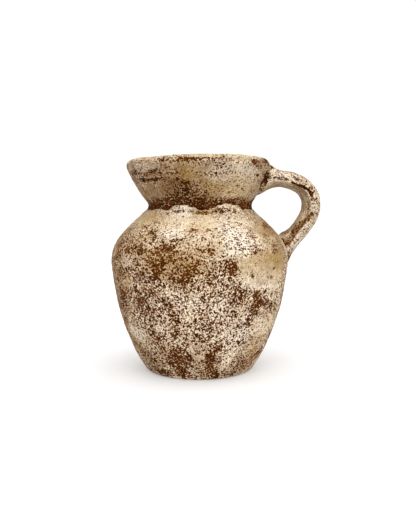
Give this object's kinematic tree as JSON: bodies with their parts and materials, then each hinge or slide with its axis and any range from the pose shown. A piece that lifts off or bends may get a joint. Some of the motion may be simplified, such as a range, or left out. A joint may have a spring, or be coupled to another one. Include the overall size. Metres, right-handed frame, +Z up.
{
  "type": "one-handled terracotta vase",
  "caption": "Hand-built terracotta vase with a round belly, a narrow neck, a flared rim and a broad strap handle, washed with pale slip over brown clay.",
  "frame": {"origin": "middle of the flat underside, on the pot's axis", "axes": "+Z up the pot's axis to the mouth, +X towards the handle, +Y square to both"},
  "size_m": [0.218, 0.1848, 0.2159],
  "materials": {
    "washed_clay": "matt, rough, with a worn cream and white wash over brown clay",
    "raw_clay": "matt raw brown clay",
    "luting_slip": "matt dried slip"
  },
  "bodies": {
    "root": {"floor_disc": "washed_clay", "floor_slip_ring": "luting_slip", "belly_wall": "washed_clay", "belly_slip_ring": "luting_slip", "shoulder_wall": "washed_clay", "neck_slip_coil": "raw_clay", "neck_collar": "washed_clay", "rim_band": "washed_clay", "handle_strap": "washed_clay", "handle_upper_slip": "luting_slip", "handle_lower_slip": "luting_slip"}
  },
  "joints": []
}
